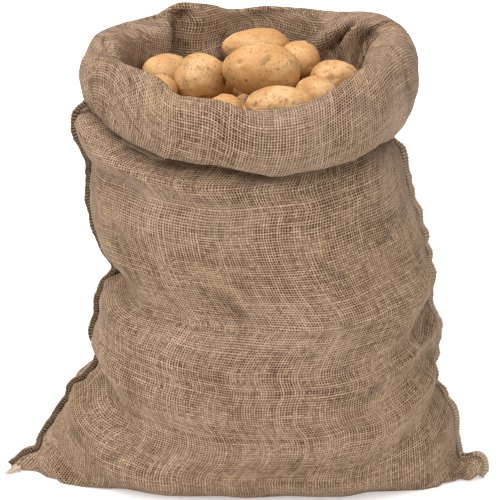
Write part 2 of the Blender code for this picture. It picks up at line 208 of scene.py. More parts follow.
# section of the roll: shares of neck, face and edge offsets, share of the drop
ROLL = (
    # name,    neck, face, edge, down
    ("neck", -1.00, 0.00, 0.0, 1.03),
    ("throat", -1.06, 0.00, 0.0, 0.70),
    ("inner", -0.92, 0.00, 0.0, 0.32),
    ("brim_in", -0.54, 0.00, 0.0, 0.07),
    ("crest", 0.00, 0.00, 0.0, 0.00),
    ("brim_out", 0.00, 0.50, 0.0, 0.06),
    ("face_high", 0.00, 0.88, 0.0, 0.26),
    ("face", 0.00, 1.00, 0.0, 0.50),
    ("face_low", 0.00, 0.62, 0.4, 0.84),
    ("edge", 0.00, 0.00, 1.0, 1.00),
    ("tuck", -0.28, 0.00, 0.6, 0.95),
    ("hem", -0.52, 0.00, 0.2, 0.70),
)
# folds of the inside wall, each from a point near the crest to one low down
INNER_FOLDS = (
    # name,      top x, top y, low x, low y, width, depth, from, to (ROLL rows)
    ("right_ridge", 96, 76, 70, 74, 13, 12, 0.0, 3.6),
    ("corner_ridge", 132, 44, 102, 58, 12, 12, 0.0, 3.7),
    ("corner_valley", 141, 20, 122, 34, 9, -6, 0.0, 3.4),
    ("right_bulge", 138, -12, 128, -8, 26, 9, 0.6, 3.6),
    ("left_ridge", -108, 68, -102, 58, 24, 13, 0.6, 3.4),
    ("left_valley", -72, 90, -76, 72, 12, -7, 0.0, 3.6),
    ("back_swell", -52, 80, -52, 78, 24, 9, 0.0, 1.7),
    ("back_wave", 20, 92, 20, 80, 30, -5, 0.5, 3.9),
)
# creases and swellings pressed into the wall, seen from the front
WALL_FOLDS = (
    # name,           x0,  z0,   x1,  z1, width, depth, side
    ("left_pinch", -136, 221, -92, 186, 15, -9, -1),
    ("left_waist", -160, 128, -118, 66, 15, -11, -1),
    ("left_hip", -150, 152, -112, 108, 20, 6, -1),
    ("left_heel", -190, 66, -120, 24, 24, 5, -1),
    ("right_trough", 178, 140, 98, 92, 16, -10, -1),
    ("right_hip", 176, 112, 118, 66, 22, 6, -1),
    ("right_pinch", 176, 188, 142, 158, 13, -8, -1),
    ("right_swell", 168, 222, 150, 196, 20, 6, -1),
    ("shoulder_dip", -120, 336, -40, 318, 14, -6, -1),
    ("under_cuff", -148, 368, -84, 348, 11, -9, -1),
    ("belly", 10, 120, 10, 200, 70, 4, -1),
    ("back_crease_a", -130, 200, -40, 150, 22, -9, 1),
    ("back_crease_b", 140, 240, 50, 190, 24, -8, 1),
    ("back_crease_c", 120, 90, 20, 60, 22, -7, 1),
    ("back_swell_a", -60, 110, 20, 100, 50, 6, 1),
)
EARS = (
    # x where the pinch starts, x of the neck, half thickness past it
    (-206, -222, 11.0),
    (208, 219, 15.0),
)

# -------------------------------------------------------------- filling table
POTATOES = (
    # name,      x,    y,   z, long, wide, deep, turn, dip, roll, taper
    ("potato_01", 11.0, -30.5, 425.3, 38, 26, 27, 4, 6, 10, 0.10),
    ("potato_02", -48.6, -20.0, 413.6, 26, 24, 25, 30, -8, 0, 0.06),
    ("potato_03", 28.5, -85.0, 406.0, 33, 21, 18, -4, 0, 12, -0.08),
    ("potato_04", 6, 44, 430, 34, 22, 18, 2, 0, -8, 0.08),
    ("potato_05", 47.5, 17, 421, 20, 21, 21, 50, 10, 0, 0.05),
    ("potato_06", 63.0, -54.6, 407.6, 22, 18, 18, -28, 10, 0, 0.06),
    ("potato_07", 82.0, -10.5, 411.0, 25, 20, 19, 8, 0, 14, -0.06),
    ("potato_08", -81, 20, 410.5, 25, 21, 18, -10, 2, 0, 0.07),
    ("potato_09", -87.0, -42.3, 406.6, 18.5, 18.5, 18, 20, 0, 0, 0.04),
    ("potato_10", -23.5, -83.0, 398.0, 18, 18, 18, 10, 0, 0, 0.05),
    ("potato_11", -36.0, 22.0, 397.0, 21, 16, 15, 20, 0, 10, 0.05),
    ("potato_12", -41, 56, 398, 22, 15, 16, 8, 0, 0, 0.06),
    ("potato_13", 44, 60, 396, 24, 16, 17, -8, 4, 0, -0.05),
    ("potato_14", 84, 28, 396, 18, 17, 16, 30, 0, 0, 0.04),
    ("potato_15", -60, -72.5, 394, 20, 16, 16, -25, 0, 0, 0.05),
)


def hermite(keys, values, at):
    """Monotone cubic through the rows of a table."""
    keys = np.asarray(keys, float)
    values = np.asarray(values, float)
    at = np.clip(np.asarray(at, float), keys[0], keys[-1])
    step = np.diff(keys)
    grad = np.diff(values) / step
    slope = np.zeros_like(values)
    same = grad[:-1] * grad[1:] > 0
    w1 = 2 * step[1:] + step[:-1]
    w2 = step[1:] + 2 * step[:-1]
    with np.errstate(divide="ignore", invalid="ignore"):
        inner = (w1 + w2) / (w1 / grad[:-1] + w2 / grad[1:])
    slope[1:-1] = np.where(same, inner, 0.0)
    slope[0], slope[-1] = grad[0], grad[-1]
    i = np.clip(np.searchsorted(keys, at, side="right") - 1, 0, len(step) - 1)
    u = (at - keys[i]) / step[i]
    return (
        values[i] * (1 + 2 * u) * (1 - u) ** 2
        + slope[i] * step[i] * u * (1 - u) ** 2
        + values[i + 1] * u * u * (3 - 2 * u)
        + slope[i + 1] * step[i] * u * u * (u - 1)
    )


def ease(value):
    value = np.clip(value, 0.0, 1.0)
    return value * value * (3 - 2 * value)


def shares(columns):
    """Shares of the way along one half ring, closer together at the seams."""
    even = np.linspace(0, 1, columns // 2 + 1)
    return 0.6 * even + 0.4 * (1 - np.cos(np.pi * even)) / 2


def along(points, columns):
    """Take the columns off a finely drawn ring, half by half."""
    half = (len(points) - 1) // 2
    taken = []
    for part in (points[: half + 1], points[half:]):
        length = np.r_[0, np.cumsum(np.linalg.norm(np.diff(part[:, :3], axis=0), axis=1))]
        at = shares(columns)[:-1] * length[-1]
        taken.append(np.stack([np.interp(at, length, part[:, k]) for k in range(part.shape[1])], 1))
    return np.concatenate(taken)


def wall_ring(t, columns):
    """One ring of the wall, t millimetres up the cloth from the base fold."""
    left = [hermite([r[0] for r in LEFT_EDGE], [r[k] for r in LEFT_EDGE], t) for k in (1, 2)]
    right = [hermite([r[0] for r in RIGHT_EDGE], [r[k] for r in RIGHT_EDGE], t) for k in (1, 2)]
    yf, zf, yb, zb, full = [
        hermite([r[0] for r in MIDDLE], [r[k] for r in MIDDLE], t) for k in range(1, 6)
    ]
    turn = np.linspace(0, 2 * np.pi, 2881)
    c, s = np.cos(turn), np.sin(turn)
    out = np.abs(c) ** (2 / full)          # share of the way to the seam
    side = np.abs(s) ** (2 / full)
    line = [hermite([r[0] for r in SEAM_LINE], [r[k] for r in SEAM_LINE], t) for k in (1, 2)]
    middle = 0.5 * (left[0] + right[0])
    edge_x = np.where(c > 0, left[0], right[0])
    edge_z = np.where(c > 0, left[1], right[1])
    x = middle + (edge_x - middle) * out
    seam_y = line[0] + (line[1] - line[0]) * ease((x - left[0]) / (right[0] - left[0]))
    reach = np.where(s >= 0, yf, yb) - seam_y
    held = hermite([r[0] for r in BASE_LINE], [r[1] for r in BASE_LINE], x)
    held = 1 + (held - 1) * ease((128 - t) / 40) * ease(t / 10)
    y = seam_y + reach * side * np.where(s >= 0, held, 1)
    # the rings sag between the seams, and lie flat on the base
    flat = hermite([0, 10, 21, 33, 47, 64, 82, 104, 126, 160, 446],
                   [0.90, 0.89, 0.85, 0.84, 0.87, 0.90, 0.84, 0.68, 0.42, 0.0, 0.0], t)
    rise = np.clip((out - flat) / (1 - flat), 0, 1) ** (2.0 + 1.8 * ease((t - 90) / 120))
    z = np.where(s >= 0, zf, zb)
    z = z + (edge_z - z) * rise
    for start, neck, most in EARS:
        squeeze = ease((x - start) / (neck - start))
        off = y - seam_y
        y = seam_y + off * (1 - squeeze) + squeeze * most * off / (np.abs(off) + 0.6 * most)
    return along(np.stack([x, y, z], 1), columns)


def mouth_curve(columns):
    """Crest of the brim with its section sizes, taken at the columns."""
    rows = np.array([r[1:] for r in MOUTH], float)
    count = len(rows)
    seam = [r[0] for r in MOUTH].index("right_seam")
    ring = np.concatenate([rows[-3:], rows, rows[:4]])
    chord = np.r_[0, np.cumsum(np.linalg.norm(np.diff(ring[:, :3], axis=0), axis=1))]

    def spline(at):
        i = np.clip(np.searchsorted(chord, at, side="right") - 1, 1, len(chord) - 3)
        u = ((at - chord[i]) / (chord[i + 1] - chord[i]))[:, None]
        p0, p1, p2, p3 = ring[i - 1], ring[i], ring[i + 1], ring[i + 2]
        return 0.5 * (
            2 * p1 + (p2 - p0) * u + (2 * p0 - 5 * p1 + 4 * p2 - p3) * u**2
            + (3 * p1 - p0 - 3 * p2 + p3) * u**3
        )

    first, half, last = chord[3], chord[3 + seam], chord[3 + count]
    front = spline(np.linspace(first, half, 1441))
    back = spline(np.linspace(half, last, 1441))[1:]
    dense = np.concatenate([front, back])
    closed = np.concatenate([dense[-41:-1], dense, dense[1:41]])
    run = (closed[80:] - closed[:-80])[:, :2]
    run /= np.linalg.norm(run, axis=1)[:, None]
    outward = np.stack([run[:, 1], -run[:, 0]], 1)
    return along(np.concatenate([dense, outward], 1), columns)


def roll_ring(mouth, q):
    """One ring of the cuff; q counts down the rows of ROLL."""
    keys = range(len(ROLL))
    neck, face, edge, down = [hermite(keys, [r[k] for r in ROLL], q) for k in (1, 2, 3, 4)]
    crest, sizes, outward = mouth[:, :3], mouth[:, 3:7], mouth[:, 7:9]
    out = neck * sizes[:, 3] + face * sizes[:, 0] + edge * sizes[:, 1]
    for _, tx, ty, lx, ly, width, depth, start, end in INNER_FOLDS:
        inner = ease((q - start + 0.6) / 0.6) * ease((end - q) / 0.9)
        if inner > 0:
            share = np.clip(q / 3.5, 0, 1)
            cx, cy = lx + (tx - lx) * share, ly + (ty - ly) * share
            base = crest[:, :2] + outward * out[:, None]
            away = np.hypot(base[:, 0] - cx, base[:, 1] - cy)
            near = np.clip(away - away.min(), 0, None)
            out = out - depth * inner * np.exp(-((near / width) ** 2))
    ring = crest.copy()
    ring[:, :2] += outward * out[:, None]
    ring[:, 2] -= down * (crest[:, 2] - sizes[:, 2])
    return ring


def press(grid):
    """Press the wall folds into the rings, along the face's own direction."""
    across = np.roll(grid, -1, axis=1) - np.roll(grid, 1, axis=1)
    up = np.gradient(grid, axis=0)
    normal = np.cross(across, up)
    normal /= np.maximum(np.linalg.norm(normal, axis=2), 1e-9)[..., None]
    push = np.zeros(grid.shape[:2])
    for _, x0, z0, x1, z1, width, depth, side in WALL_FOLDS:
        px, pz = grid[..., 0] - x0, grid[..., 2] - z0
        dx, dz = x1 - x0, z1 - z0
        share = np.clip((px * dx + pz * dz) / (dx * dx + dz * dz), 0, 1)
        away = np.hypot(px - share * dx, pz - share * dz)
        fade = ease((side * (grid[..., 1] + 18) - 8) / 30)
        fade *= ease((grid[..., 2] - 6) / 30)
        push += depth * np.exp(-((away / width) ** 2)) * fade * (1 - 0.45 * share)
    return grid + normal * push[..., None]


def sack_rings(columns, wall_rows, roll_rows):
    """All rings from the base fold to the hem."""
    wall = press(np.stack([wall_ring(t, columns) for t in wall_rows]))
    mouth = mouth_curve(columns)
    roll = np.stack([roll_ring(mouth, q) for q in roll_rows])
    return np.concatenate([wall, roll])




# ------------------------------------------------------------- finer cloth
COLUMNS = 288
WRINKLES = (
    # name,            x0,  z0,   x1,  z1, width, depth, side
    ("left_crease_a", -131, 219, -104, 196, 5, -3.2, -1),
    ("left_crease_b", -134, 226, -96, 214, 7, -2.2, -1),
    ("left_ridge_a", -144, 205, -104, 178, 9, 2.4, -1),
    ("waist_crease_a", -150, 128, -128, 92, 6, -4.0, -1),
    ("waist_crease_b", -128, 92, -104, 62, 8, -3.0, -1),
    ("waist_ridge", -148, 112, -132, 76, 8, 2.6, -1),
    ("heel_crease", -206, 42, -182, 26, 6, -2.6, -1),
    ("heel_fold", -214, 24, -186, 8, 7, -2.4, -1),
    ("right_crease_a", 180, 184, 150, 164, 6, -3.0, -1),
    ("right_crease_b", 178, 156, 140, 132, 8, -3.2, -1),
    ("right_crease_c", 184, 136, 150, 120, 7, -2.6, -1),
    ("right_ridge_a", 180, 128, 132, 108, 10, 2.8, -1),
    ("right_crease_d", 190, 94, 160, 74, 7, -2.6, -1),
    ("right_heel", 208, 30, 184, 18, 7, -2.4, -1),
    ("shoulder_a", -142, 338, -92, 322, 7, -2.6, -1),
    ("shoulder_b", 140, 330, 100, 300, 10, -2.2, -1),
    ("shoulder_c", 60, 340, 110, 322, 9, -1.8, -1),
    ("left_wall", -150, 300, -120, 268, 10, -2.0, -1),
    ("back_a", -150, 150, -90, 120, 8, -3.0, 1),
    ("back_b", 130, 300, 70, 270, 9, -2.6, 1),
    ("back_c", 160, 190, 100, 170, 8, -3.0, 1),
    ("back_d", -130, 300, -60, 285, 10, -2.4, 1),
    ("back_e", 170, 90, 110, 60, 8, -3.0, 1),
    ("back_f", -180, 70, -120, 50, 8, -3.0, 1),
)

MOUTH_CREASES = (
    # name, path of (row of ROLL, share of the way round), height towards the opening,
    # reach on the side of the right seam, reach on the other side
    ("fold_a", ((2.9, 0.632), (2.4, 0.650), (2.0, 0.668), (1.5, 0.686), (0.8, 0.70)), 8.5, 13, 5.0),
    ("valley_a", ((2.9, 0.611), (2.2, 0.636), (1.9, 0.650), (1.5, 0.664), (0.8, 0.676)), -6.0, 4.5, 4.5),
    ("fold_b", ((2.9, 0.600), (2.4, 0.614), (1.9, 0.629), (1.4, 0.642), (0.8, 0.650)), 8.0, 8, 5.0),
    ("valley_b", ((2.9, 0.582), (2.4, 0.593), (1.9, 0.605), (1.4, 0.612), (0.8, 0.616)), -7.0, 4.5, 4.5),
    ("bulge", ((2.9, 0.558), (2.0, 0.570), (1.2, 0.583)), 4.5, 16, 6.0),
    ("left_fold", ((2.9, 0.845), (2.3, 0.849), (1.7, 0.853), (0.8, 0.86)), 7.0, 5.0, 17),
    ("left_hollow", ((2.9, 0.824), (2.3, 0.826), (1.4, 0.830)), -5.5, 12, 5.0),
    ("back_soft", ((2.9, 0.742), (2.4, 0.748), (1.4, 0.75)), -3.0, 16, 16),
    ("brim_crease", ((3.9, 0.955), (3.5, 0.972), (3.1, 0.992), (2.6, 1.012), (2.0, 1.028)), -4.5, 6.5, 5.0),
)
# where the right-hand seam crosses the cuff
SEAM_OVER = ((3.0, 0.582), (3.8, 0.575), (4.4, 0.572), (4.9, 0.569), (5.3, 0.562), (5.8, 0.545),
             (6.8, 0.524), (7.6, 0.513), (9.0, 0.505), (11.0, 0.502))


def wander(points, size, seed):
    """Smooth noise at each point, about -1 to 1."""
    shift = Vector((seed * 13.7, seed * 5.3, seed * 9.1))
    return np.array([noise.noise(Vector(p) / size + shift) for p in points])


def facing(grid):
    across = np.roll(grid, -1, axis=1) - np.roll(grid, 1, axis=1)
    up = np.gradient(grid, axis=0)
    normal = np.cross(across, up)
    return normal / np.maximum(np.linalg.norm(normal, axis=2), 1e-9)[..., None]


def lengths(grid, axis):
    step = np.linalg.norm(np.diff(grid, axis=axis), axis=2)
    start = np.zeros_like(np.take(step, [0], axis=axis))
    return np.concatenate([start, np.cumsum(step, axis=axis)], axis=axis)


def off_line(path, q, ring_length):
    """Distance round one ring from a path given as (row, share), or None past its ends."""
    rows = [p[0] for p in path]
    order = np.argsort(rows)
    rows, places = np.array(rows)[order], np.array([p[1] for p in path])[order]
    if q < rows[0] - 0.5 or q > rows[-1] + 0.5:
        return None, 0.0
    at = np.interp(q, rows, places) % 1.0 * COLUMNS
    whole = ring_length[-1]
    here = np.interp(at, np.arange(COLUMNS + 1), ring_length)
    away = ring_length[:-1] - here
    away = (away + whole / 2) % whole - whole / 2
    fade = ease((q - rows[0] + 0.5) / 0.7) * ease((rows[-1] + 0.5 - q) / 0.9)
    return away, float(fade)


def fine_sack():
    """The whole cloth as a fine grid, with small wrinkles, puckers and bulges."""
    wall_t = np.concatenate([np.linspace(0, 60, 16), np.linspace(64, 420, 76), np.linspace(424, 446, 6)])
    roll_q = np.concatenate([np.linspace(0, 3.6, 18), np.linspace(3.8, 9.6, 34), np.linspace(9.9, 11, 5)])
    grid = sack_rings(COLUMNS, wall_t, roll_q)
    walls = len(wall_t)
    half = COLUMNS // 2
    flat = grid.reshape(-1, 3)
    rows = np.arange(len(grid))[:, None]

    # distance to the nearer seam, round the ring
    across = lengths(np.concatenate([grid, grid[:, :1]], axis=1), 1)
    left = np.minimum(across[:, :-1], across[:, -1:] - across[:, :-1])
    right = np.abs(across[:, :-1] - across[:, half : half + 1])
    seam = np.minimum(left, right)

    push = np.zeros(grid.shape[:2])
    for _, x0, z0, x1, z1, width, depth, side in WRINKLES:
        px, pz = grid[..., 0] - x0, grid[..., 2] - z0
        dx, dz = x1 - x0, z1 - z0
        share = np.clip((px * dx + pz * dz) / (dx * dx + dz * dz), -0.2, 1.2)
        bend = 4 * np.sin(share * 5.0 + x0)
        span = math.hypot(dx, dz)
        away = np.hypot(px - share * dx - bend * dz / span, pz - share * dz + bend * dx / span)
        fade = ease((side * (grid[..., 1] + 18) - 4) / 24)
        push += depth * np.exp(-((away / width) ** 2)) * fade * ease(1.2 - share) * ease((share + 0.2) * 4)
    # broad bulges of the potatoes behind, smaller slack in the cloth
    calm = ease((rows - 10) / 12) * ease(seam / 40)
    wall = np.where(rows < walls, 1.0, 0.0)
    push += (2.0 * wander(flat, 46, 3) + 1.1 * wander(flat, 22, 4)).reshape(push.shape) * calm * wall
    # puckers drawn in by the stitching
    pucker = wander(np.stack([flat[:, 0] * 0.12, flat[:, 1] * 0.12, flat[:, 2]], 1), 7.5, 8).reshape(push.shape)
    pucker *= np.exp(-seam / 16) * ease(seam / 3) * wall * ease((rows - 6) / 8)
    push += 2.6 * pucker
    # the rolled cuff: soft dents and lengthways slack
    roll = 1 - wall
    shown = roll * ease((rows - walls - 3) / 6)
    low = np.stack([flat[:, 0], flat[:, 1], flat[:, 2] * 0.8], 1)
    push += (2.4 * wander(low, 52, 11) + 1.3 * wander(low, 24, 12) + 0.6 * wander(low, 11, 13)).reshape(push.shape) * shown
    # folds inside the mouth and over the brim, then the seam crossing the cuff
    line = np.full(grid.shape[:2], 99.0)
    shade = np.full(grid.shape[:2], 99.0)
    for k, q in enumerate(roll_q):
        r = walls + k
        for _, path, height, before, after in MOUTH_CREASES:
            away, fade = off_line(path, q, across[r])
            if away is not None:
                reach = np.where(away < 0, before, after)
                push[r] -= height * fade * np.exp(-((away / reach) ** 2))
                # painted shade along the valleys of the deeper creases, carried by the seam mark
                if height < -4:
                    shade[r] = np.minimum(shade[r], 1.0 + 0.40 * np.abs(away) + 5 * (1 - fade))
        share = np.arange(COLUMNS) / COLUMNS
        ledge = ease((share - 0.775) / 0.014) * ease((0.842 - share) / 0.008)
        push[r] -= 6.0 * ledge * ease((1.75 - q - 0.5 * np.sin((share - 0.78) * 40)) / 0.22) * ease(q / 0.8)
        away, fade = off_line(SEAM_OVER, q, across[r])
        if away is not None:
            line[r] = np.abs(away) + 8 * (1 - fade)
    push -= roll * (1.6 * np.exp(-((line / 5.0) ** 2)) - 2.4 * np.exp(-((line / 1.6) ** 2)))
    # painted shade low on the inner wall, by the filling
    deep = 1.35 + 1.9 * np.clip(roll_q - 1.1, 0, None)[:, None]
    line[walls:] = np.minimum(np.minimum(line, shade)[walls:], np.broadcast_to(deep, line[walls:].shape))
    seam = np.where(wall > 0, seam, line)
    grid = grid + facing(grid) * push[..., None]
    low_rows = grid[:walls]
    low_rows[..., 2] = np.maximum(low_rows[..., 2], 0.0)

    # the right-hand ear plumps out and lies a little forward
    ear = grid[:walls]
    share = ease((ear[..., 0] - 212) / 12) * ease((50 - ear[..., 2]) / 20)
    ear[..., 1] += share * ((ear[..., 1] + 37) * 0.16 - 7.0)
    ear[..., 2] += share * (ear[..., 2] - 9) * 0.20
    ear[..., 0] += share * 1.0
    ear[..., 2] = np.maximum(ear[..., 2], 0.0)

    # scalloped edges where the overlock gathers the cloth
    for column, sign in ((0, -1), (half, 1)):
        line = grid[:walls, column]
        run = lengths(line[:, None], 0)[:, 0]
        gather = 1.3 * np.sin(run / 4.3 + 1.7 * np.sin(run / 23)) + 1.0 * wander(line, 14, 21 + sign)
        gather *= ease((np.arange(walls) - 3) / 6)
        for step in range(-4, 5):
            weight = math.exp(-(abs(step) / 2.2))
            at = (column + step) % COLUMNS
            grid[:walls, at, 0] += sign * gather * weight
    # the line the right-hand seam takes over the cuff, lying on the cloth
    skin = grid - facing(grid) * (SHEET + 0.05)
    crossing = []
    for k, q in enumerate(roll_q):
        if 3.0 <= q <= 8.2:
            at = np.interp(q, [p[0] for p in SEAM_OVER], [p[1] for p in SEAM_OVER]) * COLUMNS
            a, part = int(at), at - int(at)
            crossing.append(skin[walls + k, a] * (1 - part) + skin[walls + k, a + 1] * part)
    # the lip of the cuff on the left, where the stitched hem peeps out, and painted shade for the dark gap below it
    lip = grid[walls + int(np.argmin(np.abs(roll_q - 9.1)))]
    hem = np.array([p for p in lip if p[1] < -30 and -121 < p[0] < -76])
    hem = hem[np.argsort(hem[:, 0])]
    seen = lambda p: np.stack([p[..., 0], 0.94 * p[..., 2] + 0.342 * p[..., 1]], -1)
    gap = np.array([p for p in lip if p[1] < -30 and -150 < p[0] < -70])
    near = seen(grid[walls - 14 : walls + 4])[:, :, None, :] - seen(gap)[None, None]
    near = np.sqrt((near ** 2).sum(-1)).min(-1)
    near = np.where(grid[walls - 14 : walls + 4, :, 1] < -20, near, 99.0)
    seam[walls - 14 : walls + 4] = np.minimum(seam[walls - 14 : walls + 4], near * 0.42 + 0.6)
    return grid, walls, seam, np.array(crossing), hem


def weave_map(grid):
    """Thread coordinates in metres: across the cloth and up it, from the front or back middle."""
    half = COLUMNS // 2
    closed = np.concatenate([grid, grid[:, :1]], axis=1)
    across = lengths(closed, 1)
    fronts, backs = across[:, half], across[:, -1] - across[:, half]
    width = 15
    def steady(values):
        padded = np.concatenate([np.full(width // 2, values[0]), values, np.full(width // 2, values[-1])])
        return np.convolve(padded, np.hanning(width) / np.hanning(width).sum(), "valid")
    up = lengths(grid, 0)
    kernel = np.hanning(33) / np.hanning(33).sum()
    wrapped = np.concatenate([up[:, -16:], up, up[:, :16]], axis=1)
    up = np.stack([np.convolve(row, kernel, "valid") for row in wrapped])
    up = np.concatenate([up, up[:, :1]], axis=1)
    u = np.zeros((len(grid), COLUMNS + 1, 2))
    front_wide, back_wide = steady(fronts), steady(backs)
    share = across[:, : half + 1] / fronts[:, None]
    u_front = (share - 0.5) * front_wide[:, None]
    share = (across[:, half:] - across[:, half : half + 1]) / backs[:, None]
    u_back = (share - 0.5) * back_wide[:, None] + 700
    return u_front * MM, u_back * MM, up * MM


def cloth_object(name, grid, walls, seam, look):
    count, columns = grid.shape[:2]
    half = columns // 2
    index = np.zeros((count, columns), int)
    verts, value = [], []
    for r in range(count):
        for c in range(columns):
            if r == 0 and c > half:
                index[r, c] = index[0, columns - c]
                continue
            index[r, c] = len(verts)
            verts.append(grid[r, c] + MIDDLE_AT)
            value.append(math.exp(-((seam[r, c] / (1.7 if r >= walls else 2.3)) ** 2)))
    u_front, u_back, up = weave_map(grid)
    faces, corners_uv = [], []
    for r in range(count - 1):
        for c in range(columns):
            d = (c + 1) % columns
            if c < half:
                lo, hi = u_front[r], u_front[r + 1]
                a, b = c, c + 1
            else:
                lo, hi = u_back[r], u_back[r + 1]
                a, b = c - half, c - half + 1
            uv = [(lo[a], up[r, c]), (lo[b], up[r, c + 1]), (hi[b], up[r + 1, c + 1]), (hi[a], up[r + 1, c])]
            four = [int(index[r, c]), int(index[r, d]), int(index[r + 1, d]), int(index[r + 1, c])]
            if r == 0 and c in (0, half):
                for pick in ((0, 1, 2), (0, 2, 3)):
                    faces.append([four[k] for k in pick])
                    corners_uv += [uv[k] for k in pick]
            elif r == 0 and d in (0, half):
                for pick in ((1, 2, 3), (1, 3, 0)):
                    faces.append([four[k] for k in pick])
                    corners_uv += [uv[k] for k in pick]
            else:
                faces.append(four)
                corners_uv += uv
    mesh = bpy.data.meshes.new(name)
    mesh.from_pydata([tuple(float(x) * MM for x in v) for v in verts], [], faces)
    layer = mesh.uv_layers.new(name="weave")
    layer.uv.foreach_set("vector", np.array(corners_uv, np.float32).ravel())
    # seam mark per vertex: sewn lines plus painted shade in crease valleys, low on the inner wall and under the cuff's
    # lip
    mark = mesh.attributes.new("seam_and_painted_shade", "FLOAT", "POINT")
    mark.data.foreach_set("value", np.array(value, np.float32))
    mesh.materials.append(look)
    raw = bpy.data.objects.new(name + "_raw", mesh)
    bpy.context.scene.collection.objects.link(raw)
    thick = raw.modifiers.new("thickness", "SOLIDIFY")
    thick.thickness = SHEET * MM
    thick.offset = -1
    thick.use_rim = True
    bpy.context.view_layer.update()
    solid = bpy.data.meshes.new_from_object(raw.evaluated_get(bpy.context.evaluated_depsgraph_get()))
    bpy.data.objects.remove(raw)
    solid.name = name
    solid.shade_smooth()
    made = bpy.data.objects.new(name, solid)
    bpy.context.scene.collection.objects.link(made)
    return made


# ---------------------------------------------------------------- materials
class Graph:
    """Short names for building a material's nodes."""

    def __init__(self, name):
        self.material = bpy.data.materials.new(name)
        self.material.use_nodes = True
        self.tree = self.material.node_tree
        self.shader = self.tree.nodes["Principled BSDF"]

    def node(self, kind, **values):
        made = self.tree.nodes.new(kind)
        for key, value in values.items():
            setattr(made, key, value)
        return made

    def put(self, socket, value):
        if isinstance(value, bpy.types.NodeSocket):
            self.tree.links.new(value, socket)
        elif value is not None:
            socket.default_value = value

    def math(self, kind, a, b=None, c=None, clamp=False):
        made = self.node("ShaderNodeMath", operation=kind, use_clamp=clamp)
        for socket, value in zip(made.inputs, (a, b, c)):
            self.put(socket, value)
        return made.outputs[0]

    def mix(self, share, a, b, kind="MIX"):
        made = self.node("ShaderNodeMix", data_type="RGBA", blend_type=kind, clamp_factor=True)
        self.put(made.inputs[0], share)
        for socket, value in ((made.inputs[6], a), (made.inputs[7], b)):
            self.put(socket, value if isinstance(value, bpy.types.NodeSocket) else (*value, 1))
        return made.outputs[2]

    def span(self, value, low, high, to_low=0.0, to_high=1.0, smooth=True):
        made = self.node("ShaderNodeMapRange", interpolation_type="SMOOTHSTEP" if smooth else "LINEAR")
        for socket, item in zip(made.inputs, (value, low, high, to_low, to_high)):
            self.put(socket, item)
        return made.outputs[0]

    def join(self, x, y, z=0.0):
        made = self.node("ShaderNodeCombineXYZ")
        for socket, value in zip(made.inputs, (x, y, z)):
            self.put(socket, value)
        return made.outputs[0]

    def noise(self, where, scale=1.0, detail=2.0, rough=0.5, colour=False):
        made = self.node("ShaderNodeTexNoise")
        self.put(made.inputs["Vector"], where)
        made.inputs["Scale"].default_value = scale
        made.inputs["Detail"].default_value = detail
        made.inputs["Roughness"].default_value = rough
        return made.outputs[1 if colour else 0]

    def white(self, a, b=0.0):
        made = self.node("ShaderNodeTexWhiteNoise", noise_dimensions="2D")
        self.put(made.inputs["Vector"], self.join(a, b))
        return made.outputs[0]

    def bump(self, height, strength, distance):
        made = self.node("ShaderNodeBump")
        made.inputs["Strength"].default_value = strength
        made.inputs["Distance"].default_value = distance
        self.put(made.inputs["Height"], height)
        self.put(self.shader.inputs["Normal"], made.outputs[0])
        return made


WARP_PITCH = 2.62      # millimetres between threads
WEFT_PITCH = 2.62


